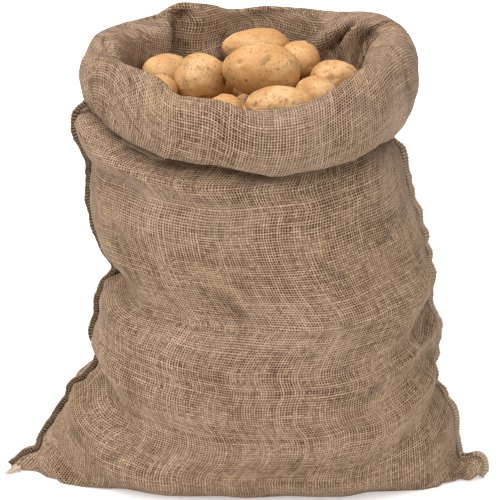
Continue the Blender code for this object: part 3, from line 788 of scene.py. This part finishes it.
def hessian_material():
    g = Graph("hessian_weave")
    uv = g.node("ShaderNodeUVMap", uv_map="weave")
    split = g.node("ShaderNodeSeparateXYZ")
    g.put(split.inputs[0], uv.outputs[0])
    u = g.math("MULTIPLY", split.outputs[0], 1000 / WARP_PITCH)
    v = g.math("MULTIPLY", split.outputs[1], 1000 / WEFT_PITCH)
    # threads bend together in long waves
    drift = g.node("ShaderNodeSeparateColor")
    g.put(drift.inputs[0], g.noise(g.join(u, v, 3.0), 0.020, 1.5, colour=True))
    u = g.math("MULTIPLY_ADD", drift.outputs[0], 7.0, u)
    v = g.math("MULTIPLY_ADD", drift.outputs[1], 6.0, v)
    iu, iv = g.math("FLOOR", u), g.math("FLOOR", v)
    # each one wanders a little by itself
    own_u = g.noise(g.join(g.math("MULTIPLY", iu, 5.17), g.math("MULTIPLY", v, 0.13), 11.0), 1.0, 1.0)
    own_v = g.noise(g.join(g.math("MULTIPLY", u, 0.13), g.math("MULTIPLY", iv, 5.17), 23.0), 1.0, 1.0)
    fu = g.math("SUBTRACT", g.math("SUBTRACT", u, iu), g.math("MULTIPLY_ADD", own_u, 0.62, 0.19))
    fv = g.math("SUBTRACT", g.math("SUBTRACT", v, iv), g.math("MULTIPLY_ADD", own_v, 0.62, 0.19))
    du, dv = g.math("ABSOLUTE", fu), g.math("ABSOLUTE", fv)
    # how thick each thread is: its own size, slubs along it, and open or closed areas
    slub_u = g.noise(g.join(g.math("MULTIPLY", iu, 5.3), g.math("MULTIPLY", v, 0.16), 31.0), 1.0, 2.0)
    slub_v = g.noise(g.join(g.math("MULTIPLY", u, 0.16), g.math("MULTIPLY", iv, 5.3), 37.0), 1.0, 2.0)
    close = g.noise(g.join(u, v, 41.0), 0.07, 3.0, 0.6)
    close = g.math("MULTIPLY_ADD", close, 0.40, -0.205)
    thick_u = g.math("ADD", g.math("MULTIPLY_ADD", g.white(iu, 3.0), 0.09, 0.058), g.math("MULTIPLY_ADD", slub_u, 0.34, close))
    thick_v = g.math("ADD", g.math("MULTIPLY_ADD", g.white(iv, 9.0), 0.10, 0.030), g.math("MULTIPLY_ADD", slub_v, 0.34, close))
    soft = 0.07
    on_u = g.span(du, g.math("ADD", thick_u, soft), g.math("SUBTRACT", thick_u, soft))
    on_v = g.span(dv, g.math("ADD", thick_v, soft), g.math("SUBTRACT", thick_v, soft))
    # over and under
    odd = g.math("PINGPONG", g.math("ADD", iu, iv), 1.0)
    sign = g.math("MULTIPLY_ADD", odd, -2.0, 1.0)
    lift_u = g.math("MULTIPLY", sign, g.math("COSINE", g.math("MULTIPLY", fv, math.pi)))
    lift_v = g.math("MULTIPLY", sign, g.math("COSINE", g.math("MULTIPLY", fu, -math.pi)))
    high_u = g.math("MULTIPLY", on_u, g.math("MULTIPLY_ADD", lift_u, 0.32, 1.03))
    high_v = g.math("MULTIPLY", on_v, g.math("MULTIPLY_ADD", lift_v, -0.32, 1.0))
    height = g.math("MAXIMUM", high_u, high_v)
    top_u = g.span(g.math("SUBTRACT", high_u, high_v), -0.08, 0.08)
    cover = g.math("MAXIMUM", on_u, on_v)
    # colours: each thread has its own shade, fibres run along it
    fibre_u = g.noise(g.join(g.math("MULTIPLY", u, 7.0), g.math("MULTIPLY", v, 0.9), 51.0), 1.0, 2.0, 0.6)
    fibre_v = g.noise(g.join(g.math("MULTIPLY", u, 0.9), g.math("MULTIPLY", v, 7.0), 57.0), 1.0, 2.0, 0.6)
    long_u = g.noise(g.join(g.math("MULTIPLY", iu, 3.1), g.math("MULTIPLY", v, 0.05), 61.0), 1.0, 1.0)
    long_v = g.noise(g.join(g.math("MULTIPLY", u, 0.05), g.math("MULTIPLY", iv, 3.1), 67.0), 1.0, 1.0)
    knot = g.noise(g.join(g.math("MULTIPLY", iu, 7.31), g.math("MULTIPLY", iv, 5.77), 77.0), 1.0, 0.0)
    knot = g.math("MULTIPLY_ADD", knot, 1.10, -0.55)
    fibre_u, fibre_v = g.math("ADD", fibre_u, knot), g.math("ADD", fibre_v, knot)
    shade_u = g.math("MULTIPLY_ADD", g.white(iu, 71.0), 0.22, g.math("MULTIPLY_ADD", long_u, 0.60, g.math("MULTIPLY_ADD", fibre_u, 0.62, 0.04)))
    shade_v = g.math("MULTIPLY_ADD", g.white(iv, 73.0), 0.24, g.math("MULTIPLY_ADD", long_v, 0.60, g.math("MULTIPLY_ADD", fibre_v, 0.62, 0.04)))
    dark, light = (0.115, 0.064, 0.033), (0.520, 0.366, 0.246)
    warp = g.mix(g.span(shade_u, 0.36, 1.14, smooth=False), dark, light)
    weft = g.mix(g.span(shade_v, 0.36, 1.12, smooth=False), dark, (0.530, 0.374, 0.252))
    thread = g.mix(top_u, weft, warp)
    # patches where the cloth is greyer, or warmer
    patch = g.noise(g.join(u, v, 81.0), 0.075, 3.0, 0.55)
    thread = g.mix(g.span(patch, 0.58, 0.70, 0.0, 0.50), thread, (0.135, 0.098, 0.066))
    warm = g.noise(g.join(u, v, 91.0), 0.035, 3.0, 0.55)
    thread = g.mix(g.span(warm, 0.53, 0.72, 0.0, 0.40), thread, (0.36, 0.240, 0.130))
    mauve = g.noise(g.join(u, v, 95.0), 0.020, 2.0, 0.5)
    thread = g.mix(g.span(mauve, 0.50, 0.68, 0.0, 0.30), thread, (0.37, 0.262, 0.205))
    fleck = g.noise(g.join(g.math("MULTIPLY", u, 0.5), g.math("MULTIPLY", v, 1.1), 99.0), 1.0, 3.0, 0.7)
    thread = g.mix(g.span(fleck, 0.70, 0.78, 0.0, 0.75), thread, (0.075, 0.048, 0.030))
    # painted shade in the gaps behind the threads, and painted shade on each thread towards its edges
    edge_shade_u = g.span(du, 0.0, thick_u, 1.0, 0.72)
    edge_shade_v = g.span(dv, 0.0, thick_v, 1.0, 0.72)
    shaded = g.mix(top_u, g.join(edge_shade_v, edge_shade_v, edge_shade_v), g.join(edge_shade_u, edge_shade_u, edge_shade_u))
    thread = g.mix(1.0, thread, shaded, "MULTIPLY")
    colour = g.mix(cover, (0.040, 0.017, 0.007), thread)
    # the seam mark: sewn lines drawn in darker with painted shade along them, plus painted shade in the mouth's crease
    # valleys, low on the inner wall and in the gap under the cuff's lip
    mark = g.node("ShaderNodeAttribute", attribute_name="seam_and_painted_shade")
    seam_and_shade_colour = g.mix(1.0, colour, (0.24, 0.18, 0.14), "MULTIPLY")
    colour = g.mix(g.math("MULTIPLY", mark.outputs["Fac"], 0.86), colour, seam_and_shade_colour)
    g.put(g.shader.inputs["Base Color"], colour)
    g.shader.inputs["Metallic"].default_value = 0.0
    g.put(g.shader.inputs["Roughness"], g.span(fibre_v, 0.2, 0.8, 0.82, 0.98, smooth=False))
    g.shader.inputs["Specular IOR Level"].default_value = 0.06
    g.shader.inputs["Sheen Weight"].default_value = 0.11
    g.shader.inputs["Sheen Roughness"].default_value = 0.30
    g.shader.inputs["Sheen Tint"].default_value = (1.0, 0.84, 0.72, 1)
    grain = g.math("MULTIPLY_ADD", g.math("ADD", fibre_u, fibre_v), 0.10, height)
    g.bump(grain, 0.40, 0.0007)
    return g.material


def thread_material(name, low, high, grey):
    g = Graph(name)
    where = g.node("ShaderNodeTexCoord").outputs["Object"]
    fine = g.noise(where, 2600.0, 3.0, 0.65)
    broad = g.noise(where, 60.0, 3.0, 0.6)
    value = g.math("MULTIPLY_ADD", fine, 0.65, g.math("MULTIPLY", broad, 0.5))
    colour = g.mix(g.span(value, 0.36, 0.78, smooth=False), low, high)
    colour = g.mix(g.span(broad, 0.42, 0.66, 0.0, 0.65), colour, grey)
    g.put(g.shader.inputs["Base Color"], colour)
    g.put(g.shader.inputs["Roughness"], g.span(fine, 0.3, 0.7, 0.8, 0.98))
    g.shader.inputs["Metallic"].default_value = 0.0
    g.shader.inputs["Specular IOR Level"].default_value = 0.15
    g.shader.inputs["Sheen Weight"].default_value = 0.15
    g.bump(fine, 0.6, 0.0004)
    return g.material


def potato_material():
    g = Graph("potato_skin_fine")
    where = g.node("ShaderNodeTexCoord").outputs["Object"]
    tone = g.node("ShaderNodeAttribute", attribute_name="tone").outputs["Fac"]
    eye = g.node("ShaderNodeAttribute", attribute_name="eye").outputs["Fac"]
    broad = g.noise(where, 38.0, 3.0, 0.55)
    net = g.noise(where, 420.0, 4.0, 0.6)
    tiny = g.noise(where, 1500.0, 3.0, 0.6)
    colour = g.mix(g.span(broad, 0.36, 0.64), (0.455, 0.230, 0.078), (0.62, 0.372, 0.168))
    colour = g.mix(g.math("MULTIPLY", tone, 0.40), colour, (0.52, 0.275, 0.092))
    colour = g.mix(g.span(net, 0.42, 0.70, 0.0, 0.50), colour, (0.36, 0.182, 0.065))
    # earth left in patches
    soil = g.noise(where, 75.0, 6.0, 0.68)
    soil = g.math("MULTIPLY", g.span(soil, 0.525, 0.64), g.span(net, 0.30, 0.62, 0.35, 1.0))
    colour = g.mix(g.math("MULTIPLY", soil, 0.72), colour, (0.215, 0.135, 0.070))
    # pores: small brown specks, a few of them larger
    masks = []
    for scale, size, chance, seed in ((240.0, 0.24, 0.48, 0.0), (125.0, 0.20, 0.66, 9.0)):
        cells = g.node("ShaderNodeTexVoronoi", voronoi_dimensions="3D", feature="F1")
        shifted = g.node("ShaderNodeVectorMath", operation="ADD")
        g.put(shifted.inputs[0], where)
        shifted.inputs[1].default_value = (seed, seed * 0.37, seed * 0.71)
        g.put(cells.inputs["Vector"], shifted.outputs[0])
        cells.inputs["Scale"].default_value = scale
        pick = g.node("ShaderNodeSeparateColor")
        g.put(pick.inputs[0], cells.outputs["Color"])
        chosen = g.span(pick.outputs[0], chance, chance + 0.02)
        radius = g.math("MULTIPLY_ADD", pick.outputs[1], size, size * 0.5)
        spot = g.span(cells.outputs["Distance"], radius, g.math("MULTIPLY", radius, 0.45))
        masks.append(g.math("MULTIPLY", spot, chosen))
    pore = g.math("MAXIMUM", masks[0], masks[1])
    colour = g.mix(g.math("MULTIPLY", pore, 0.85), colour, (0.140, 0.075, 0.034))
    colour = g.mix(g.math("MULTIPLY", eye, 0.75), colour, (0.200, 0.110, 0.050))
    g.put(g.shader.inputs["Base Color"], colour)
    g.shader.inputs["Metallic"].default_value = 0.0
    g.put(g.shader.inputs["Roughness"], g.math("ADD", g.span(net, 0.3, 0.7, 0.46, 0.62), g.math("MULTIPLY", soil, 0.3)))
    g.shader.inputs["Specular IOR Level"].default_value = 0.35
    g.shader.inputs["Subsurface Weight"].default_value = 0.06
    g.shader.inputs["Subsurface Radius"].default_value = (0.004, 0.002, 0.001)
    height = g.math("MULTIPLY_ADD", net, 0.5, g.math("MULTIPLY_ADD", tiny, 0.25, g.math("MULTIPLY", pore, -0.45)))
    height = g.math("MULTIPLY_ADD", soil, 0.35, height)
    g.bump(height, 0.55, 0.0006)
    return g.material


# ---------------------------------------------------------------- stitching
def tube(points, radius, sides=5, closed=False):
    """Vertices and faces of a thin round thread along the points."""
    points = np.asarray(points, float)
    count = len(points)
    if closed:
        ahead = np.roll(points, -1, 0) - np.roll(points, 1, 0)
    else:
        ahead = np.gradient(points, axis=0)
    ahead /= np.maximum(np.linalg.norm(ahead, axis=1), 1e-9)[:, None]
    normal = np.cross(ahead[0], (0.31, 0.17, 0.93))
    normal /= np.linalg.norm(normal)
    verts = np.zeros((count, sides, 3))
    turns = np.linspace(0, 2 * np.pi, sides, endpoint=False)
    radius = np.broadcast_to(radius, count)
    for k in range(count):
        normal = normal - ahead[k] * normal.dot(ahead[k])
        normal /= np.linalg.norm(normal)
        other = np.cross(ahead[k], normal)
        verts[k] = points[k] + radius[k] * (np.cos(turns)[:, None] * normal + np.sin(turns)[:, None] * other)
    faces = []
    for k in range(count if closed else count - 1):
        j = (k + 1) % count
        for s in range(sides):
            t = (s + 1) % sides
            faces.append((k * sides + s, k * sides + t, j * sides + t, j * sides + s))
    if not closed:
        faces.append(tuple(range(sides))[::-1])
        faces.append(tuple((count - 1) * sides + s for s in range(sides)))
    return verts.reshape(-1, 3), faces


def gathered(name, pieces, look, smooth=True):
    """One mesh from several lots of vertices and faces, in millimetres."""
    verts, faces = [], []
    for some, links in pieces:
        base = len(verts)
        verts += [tuple((np.asarray(v) + MIDDLE_AT) * MM) for v in some]
        faces += [tuple(base + i for i in face) for face in links]
    mesh = bpy.data.meshes.new(name)
    mesh.from_pydata(verts, [], faces)
    mesh.materials.append(look)
    for face in mesh.polygons:
        face.use_smooth = smooth
    made = bpy.data.objects.new(name, mesh)
    bpy.context.scene.collection.objects.link(made)
    return made


def resample(path, step):
    run = np.r_[0, np.cumsum(np.linalg.norm(np.diff(path, axis=0), axis=1))]
    at = np.arange(0, run[-1], step)
    return np.stack([np.interp(at, run, path[:, k]) for k in range(path.shape[1])], 1), at


def smooth_path(path, reach):
    kernel = np.hanning(reach + 2)[1:-1]
    kernel /= kernel.sum()
    pad = np.concatenate([np.repeat(path[:1], reach // 2, 0), path, np.repeat(path[-1:], reach // 2, 0)])
    return np.stack([np.convolve(pad[:, k], kernel, "valid")[: len(path)] for k in range(path.shape[1])], 1)


def overlock(path, outward, seed, wide=5.4, thick=3.2, pitch=2.9, thread=0.74, taper=0.0):
    """Overlock stitching along a cloth edge: the edge itself, thread wound over it
    on a slant, and a chain of loops locked along the outside."""
    rng = random.Random(seed)
    fine, run = resample(np.concatenate([path, outward], 1), 0.42)
    line, out = fine[:, :3], fine[:, 3:]
    ahead = np.gradient(smooth_path(line, 15), axis=0)
    ahead /= np.linalg.norm(ahead, axis=1)[:, None]
    out = out - ahead * np.sum(out * ahead, 1)[:, None]
    out /= np.linalg.norm(out, axis=1)[:, None]
    side = np.cross(ahead, out)
    sway = wander(line, 9, seed) * 0.9
    size = 1 + 0.22 * wander(line, 11, seed + 3) + 0.14 * wander(line, 4.5, seed + 4)
    if taper:
        near = np.clip((run[-1] - run) / taper, 0, 1)
        size *= 0.30 + 0.70 * near * near * (3 - 2 * near)
    centre = line + out * (wide * 0.5 * size - 0.3)[:, None] + side * sway[:, None]
    pieces = []
    # the cloth edge inside the stitches
    sides, step = 8, 4
    turns = np.linspace(0, 2 * np.pi, sides, endpoint=False)
    some = []
    for k in range(0, len(centre), step):
        for a in turns:
            some.append(centre[k] + out[k] * math.cos(a) * wide * 0.44 * size[k] + side[k] * math.sin(a) * thick * 0.40)
    links, n = [], len(range(0, len(centre), step))
    for k in range(n - 1):
        for s in range(sides):
            t = (s + 1) % sides
            links.append((k * sides + s, k * sides + t, (k + 1) * sides + t, (k + 1) * sides + s))
    links += [tuple(range(sides))[::-1], tuple((n - 1) * sides + s for s in range(sides))]
    core = (np.array(some), links)
    # thread wound round the edge
    phase = 2 * np.pi * (run / pitch + 0.35 * wander(line, 13, seed + 5) + 0.12 * wander(line, 4, seed + 6))
    half_wide, half_thick = wide * 0.5 * size, thick * 0.5
    wound = centre + out * (np.cos(phase) * half_wide)[:, None] + side * (np.sin(phase) * half_thick)[:, None]
    wound = wound + ahead * (0.9 * np.sin(phase))[:, None]
    pieces.append(tube(wound, thread * (1 + 0.16 * wander(line, 5, seed + 7)), 5))
    # chain of loops along the outer edge
    for shift, turn in ((0.0, 1), (math.pi, 1)):
        a = phase * 0.5 * turn + shift
        chain = centre + out * (half_wide + 0.35 + 0.55 * np.cos(2 * a))[:, None] + side * (1.15 * np.sin(a) * half_thick)[:, None]
        pieces.append(tube(chain[::2], thread * 0.95, 5))
    # loose ends
    for _ in range(int(run[-1] / 16)):
        k = rng.randrange(5, len(centre) - 5)
        start = centre[k] + out[k] * half_wide[k] * rng.uniform(-0.4, 1.0)
        lean = out[k] * rng.uniform(0.5, 1.4) + side[k] * rng.uniform(-1, 1) + ahead[k] * rng.uniform(-1, 1)
        span = rng.uniform(1.5, 4.0)
        curl = np.array([rng.uniform(-1, 1) for _ in range(3)])
        pts = [start + lean * span * f + curl * span * 0.5 * f * f for f in np.linspace(0, 1, 5)]
        pieces.append(tube(pts, np.linspace(0.22, 0.06, 5), 3))
    return core, pieces


def seam_lines(grid, walls):
    """The two sewn edges with the direction each one stands out in."""
    half = COLUMNS // 2
    for name, column, sign in (("left", 0, -1), ("right", half, 1)):
        line = grid[:walls, column].copy()
        ahead = np.gradient(smooth_path(line, 5), axis=0)
        ahead /= np.linalg.norm(ahead, axis=1)[:, None]
        out = np.stack([ahead[:, 2], np.zeros(len(line)), -ahead[:, 0]], 1)
        flip = np.where(out[:, 0] * sign < -0.05, -1.0, 1.0)
        flip = np.where((np.abs(out[:, 0]) <= 0.05) & (out[:, 2] < 0), -1.0, flip)
        out *= flip[:, None]
        out /= np.linalg.norm(out, axis=1)[:, None]
        yield name, line, out


def potato(name, row, levels, look, rough=1.0):
    """One potato: an uneven ellipsoid with shallow eyes."""
    _, x, y, z, long, wide, deep, turn, dip, roll, taper = row
    rng = random.Random(int(abs(x) * 31 + abs(y) * 17 + z))
    work = bmesh.new()
    bmesh.ops.create_icosphere(work, subdivisions=levels, radius=1)
    spin = Euler([math.radians(v) for v in (roll, dip, turn)]).to_matrix()
    eyes = []
    for _ in range(8):
        a, b = rng.uniform(0, 2 * math.pi), rng.uniform(-0.9, 0.95)
        way = Vector((b, math.sqrt(1 - b * b) * math.cos(a), math.sqrt(1 - b * b) * math.sin(a)))
        eyes.append((way, rng.uniform(2.4, 4.2), rng.uniform(0.7, 1.4), rng.choice((-1, 1))))
    shift = Vector((x, y, z))
    size = (long + wide + deep) / 3
    marks = []
    for vert in work.verts:
        p = vert.co.copy()
        swell = 1 + 0.035 * math.sin(3.1 * p.x + x) * math.cos(2.3 * p.y + y)
        fat = (1 + taper * p.x) * swell
        lump = 1 + rough * (0.030 * noise.noise(p * 1.5 + shift) + 0.014 * noise.noise(p * 3.6 + shift))
        dent, mark = 0.0, 0.0
        for way, reach, depth, brow in eyes:
            away = (p - way).length * size
            if away < reach * 3:
                along_x = (p - way).x * size * brow
                dent -= depth * math.exp(-((away / reach) ** 2)) * 0.8
                dent += depth * 0.45 * math.exp(-(((away - reach * 1.3) / (reach * 0.6)) ** 2)) * (1 if along_x > 0 else 0.25)
                mark = max(mark, math.exp(-((away / (reach * 0.45)) ** 2)))
        local = Vector((p.x * long, p.y * wide * fat, p.z * deep * fat)) * lump
        local += local.normalized() * (dent * rough - 0.3)
        vert.co = (spin @ local + shift + Vector(MIDDLE_AT)) * MM
        marks.append(mark)
    mesh = bpy.data.meshes.new(name)
    work.to_mesh(mesh)
    work.free()
    tone = mesh.attributes.new("tone", "FLOAT", "POINT")
    tone.data.foreach_set("value", np.full(len(mesh.vertices), rng.random(), np.float32))
    eye = mesh.attributes.new("eye", "FLOAT", "POINT")
    eye.data.foreach_set("value", np.array(marks, np.float32))
    mesh.materials.append(look)
    for face in mesh.polygons:
        face.use_smooth = True
    made = bpy.data.objects.new(name, mesh)
    bpy.context.scene.collection.objects.link(made)
    return made


def lower_potatoes(look):
    """The layers under the heap, seen only in the gaps between the top ones."""
    rng = random.Random(5)
    rows, tries = [], 0
    for z, most in ((378, 24), (350, 26)):
        placed = []
        while len(placed) < most and tries < 6000:
            tries += 1
            x, y = rng.uniform(-104, 102), rng.uniform(-86, 68)
            if (x / 106) ** 2 + ((y + 9) / 78) ** 2 > 1:
                continue
            if all(math.hypot(x - q[0], y - q[1]) > 36 for q in placed):
                placed.append((x, y))
        for x, y in placed:
            rows.append(("lower", x, y, z + rng.uniform(-6, 5), rng.uniform(22, 30), rng.uniform(19, 23), rng.uniform(17, 21),
                         rng.uniform(0, 180), rng.uniform(-20, 20), rng.uniform(-20, 20), rng.uniform(-0.08, 0.08)))
    made = [potato(f"lower_{k}", row, 4, look) for k, row in enumerate(rows)]
    with bpy.context.temp_override(active_object=made[0], selected_editable_objects=made, object=made[0]):
        bpy.ops.object.join()
    made[0].name = "lower_potatoes"
    return made[0]


# -------------------------------------------------------------------- pieces
cloth_look = hessian_material()
# one yarn in two copies: the left seam's darker for painted shade, the right seam's paler for painted light
stitch_looks = {
    "left": thread_material("overlock_yarn", (0.085, 0.050, 0.027), (0.42, 0.288, 0.182), (0.18, 0.126, 0.078)),
    "right": thread_material("overlock_yarn_painted_light", (0.30, 0.216, 0.148), (0.74, 0.575, 0.430), (0.52, 0.405, 0.302)),
    "hem": thread_material("hem_yarn", (0.045, 0.029, 0.015), (0.32, 0.228, 0.142), (0.15, 0.113, 0.070)),
}
# the cloth edges likewise: left darker for painted shade, right paler for painted light
edge_looks = {
    "left": thread_material("cloth_edge_painted_shade", (0.026, 0.015, 0.008), (0.12, 0.076, 0.043), (0.070, 0.046, 0.027)),
    "right": thread_material("cloth_edge_painted_light", (0.20, 0.138, 0.090), (0.48, 0.348, 0.244), (0.33, 0.248, 0.178)),
}
pale_look = thread_material("frayed_yarn", (0.42, 0.31, 0.21), (0.72, 0.60, 0.46), (0.55, 0.45, 0.33))
skin_look = potato_material()

grid, walls, seam, crossing, hem = fine_sack()
sack = cloth_object("sack_cloth", grid, walls, seam, cloth_look)
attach(sack, "root")
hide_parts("sack")

for name, line, out in seam_lines(grid, walls):
    left = name == "left"
    if left:    # the upper end curls in under the cuff
        lift = ease((line[:, 2] - 326) / 14)
        line = line + np.stack([0.4 * lift, -18.0 * lift, 0 * lift], 1)
        curl = ((3, 1, 4.5), (8, 2, 8), (14, 4, 10), (21, 6, 11))
        line = np.concatenate([line, line[-1] + np.array(curl, float)])
        line = smooth_path(line, 5)
        ways = np.array([(-0.85, 0, 0.5), (-0.55, 0, 0.83), (-0.2, 0, 0.98), (0, 0, 1)], float)
        out = np.concatenate([out, ways / np.linalg.norm(ways, axis=1)[:, None]])
    core, threads = overlock(line, out, 3 if left else 8, wide=5.0 if left else 5.2, taper=12.0 if left else 24.0)
    edge = gathered(f"edge_{name}", [core], edge_looks[name])
    stitch = gathered(f"overlock_{name}", threads, stitch_looks[name])
    for piece in (edge, stitch):
        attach(piece, "root")
    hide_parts(f"seam_{name}")

# the seam where it runs on over the cuff, drawn as a thin dark tube of painted shadow, and the hem stitched under its
# left side
welt, _ = resample(smooth_path(crossing, 3), 0.8)
seam_shadow_look = thread_material("seam_shadow_yarn", (0.030, 0.019, 0.011), (0.12, 0.080, 0.050), (0.07, 0.050, 0.032))
over = gathered("seam_over_cuff", [tube(welt, 0.62 * (1 + 0.3 * wander(welt, 5, 31)), 5)], seam_shadow_look)
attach(over, "root")
under = hem + np.array([0.0, -0.8, -1.4])
under[:, 2] -= 0.4 + 1.3 * wander(hem, 8, 41)
down = np.tile([0.0, -0.35, -0.94], (len(under), 1))
_, threads = overlock(under, down, 14, wide=3.6, thick=2.0, pitch=2.9, thread=0.60, taper=18.0)
made = gathered("hem_stitches", threads[:1] + threads[3:], stitch_looks["hem"])
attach(made, "root")

# the frayed tip of the left-hand ear
rng = random.Random(4)
strands = []
for _ in range(44):
    start = np.array([rng.uniform(-238, -233), rng.uniform(-30, -17), rng.uniform(1.0, 8.0)])
    end = np.array([rng.uniform(-249.5, -243), rng.uniform(-36, -29), rng.uniform(0.9, 2.8)])
    bow = np.array([rng.uniform(-1, 1), rng.uniform(-1, 1), rng.uniform(-0.3, 1)])
    steps = np.linspace(0, 1, 5)[:, None]
    path = start * (1 - steps) + end * steps + bow * np.sin(steps * math.pi) - MIDDLE_AT
    strands.append(tube(path, np.linspace(0.85, 0.35, 5), 5))
frayed = gathered("frayed_tip", strands, pale_look)
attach(frayed, "root")

for row in POTATOES:
    made = potato(row[0] + "_skin", row, 5, skin_look)
    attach(made, "root")
    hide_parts(row[0])
lower = lower_potatoes(skin_look)
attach(lower, "root")
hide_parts("potato_fill")

# --------------------------------------------------------------------- studio
floor_mesh = bpy.data.meshes.new("floor")
floor_mesh.from_pydata([(-6, -6, 0), (6, -6, 0), (6, 14, 0), (-6, 14, 0)], [], [(0, 1, 2, 3)])
floor = bpy.data.objects.new("floor", floor_mesh)
bpy.context.scene.collection.objects.link(floor)
floor.location.z = -0.0002
paper = Graph("pale_floor")
paper.shader.inputs["Base Color"].default_value = (0.93, 0.93, 0.93, 1)
paper.shader.inputs["Roughness"].default_value = 0.9
paper.shader.inputs["Specular IOR Level"].default_value = 0.1
paper.shader.inputs["Emission Color"].default_value = (1, 1, 1, 1)
paper.shader.inputs["Emission Strength"].default_value = 0.40
floor_mesh.materials.append(paper.material)

world = bpy.data.worlds.new("studio")
bpy.context.scene.world = world
world.use_nodes = True
back = world.node_tree.nodes["Background"]
back.inputs[0].default_value = (1, 1, 1, 1)
back.inputs[1].default_value = 0.37


def softbox(name, place, size, power, tint=(1, 1, 1)):
    light = bpy.data.lights.new(name, "AREA")
    light.shape = "RECTANGLE"
    light.size, light.size_y = size
    light.energy = power
    light.color = tint
    made = bpy.data.objects.new(name, light)
    made.location = place
    made.rotation_euler = (Vector((0, 0, 0.25)) - Vector(place)).to_track_quat("-Z", "Y").to_euler()
    bpy.context.scene.collection.objects.link(made)
    return made


softbox("key", (-1.3, -1.2, 2.0), (1.0, 1.0), 20)
softbox("fill", (1.7, -1.1, 1.4), (1.2, 1.2), 12)
softbox("top", (-0.5, 0.1, 2.2), (1.0, 1.0), 24)
sky = bpy.data.lights.new("overhead", "SUN")
sky.energy = 2.0
sky.angle = math.radians(60)
overhead = bpy.data.objects.new("overhead", sky)
overhead.rotation_euler = (math.radians(28), 0, math.radians(-32))
bpy.context.scene.collection.objects.link(overhead)

rise, reach = math.radians(20), 2.0
aim = Vector((0.0014, 0.0016, 0.232))
camera = bpy.data.cameras.new("camera")
camera.sensor_width = 36
camera.lens = 36 * reach / 0.5
eye = bpy.data.objects.new("camera", camera)
eye.location = aim + Vector((0, -reach * math.cos(rise), reach * math.sin(rise)))
eye.rotation_euler = (aim - eye.location).to_track_quat("-Z", "Y").to_euler()
bpy.context.scene.collection.objects.link(eye)
bpy.context.scene.camera = eye
bpy.context.scene.view_settings.view_transform = "Standard"
